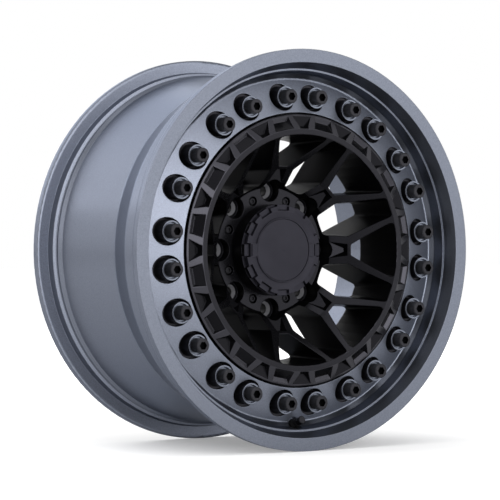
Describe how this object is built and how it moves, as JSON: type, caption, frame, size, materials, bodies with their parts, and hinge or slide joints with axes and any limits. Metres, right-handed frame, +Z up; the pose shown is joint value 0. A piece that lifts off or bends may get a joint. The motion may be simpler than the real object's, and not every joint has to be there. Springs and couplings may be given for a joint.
{
  "type": "car wheel",
  "caption": "Deep-lipped bolted off-road car wheel with forked spokes, a ring of clamping screws, a raised centre cap and a rubber tyre valve.",
  "frame": {"origin": "on the axle line, half way between the two rim edges, on the hub mounting face", "axes": "+Y along the axle towards the vehicle, so the styled face looks towards -Y; +Z up, with the tyre valve at the bottom"},
  "size_m": [0.5478, 0.2794, 0.5478],
  "materials": {
    "gunmetal_paint": "semi-gloss metallic",
    "black_paint": "matte to satin black",
    "black_steel": "black oxide",
    "black_plastic": "satin black",
    "spring_wire": "drawn wire",
    "black_rubber": "matte moulded",
    "valve_brass": "turned",
    "valve_cap_plastic": "gloss"
  },
  "bodies": {
    "wheel": {"rim": "gunmetal_paint", "wheel_centre": "black_paint", "flange_screws": "black_steel", "pad_screws": "black_steel", "cap_sleeve": "black_plastic", "cap_plate": "black_plastic", "cap_disc": "black_plastic", "cap_retainer": "spring_wire", "valve_body": "black_rubber", "valve_stem": "valve_brass", "valve_core": "valve_brass"},
    "valve_pin": {"valve_pin": "valve_brass"},
    "valve_cap_seal": {"valve_cap_seal": "black_rubber"},
    "valve_cap": {"valve_cap": "valve_cap_plastic"}
  },
  "joints": [
    {"name": "valve_pin_press", "type": "slide", "parent": "wheel", "child": "valve_pin", "axis": [0, 0.9397, -0.342], "range_m": [0, 0.0015], "stiffness_N_per_m": 400, "springref_m": -0.002},
    {"name": "valve_cap_lift", "type": "slide", "parent": "wheel", "child": "valve_cap_seal", "axis": [0, -0.9397, 0.342], "range_m": [0, 0.00725]},
    {"name": "valve_cap_turn", "type": "hinge", "parent": "valve_cap_seal", "child": "valve_cap", "pos_m": [0, -0.1027, -0.2395], "axis": [0, -0.9397, 0.342], "range_deg": [0, 3300]}
  ],
  "couplings": [
    {"joint": "valve_cap_turn", "follows": "valve_cap_lift", "rad_per_m": 7913.3}
  ]
}
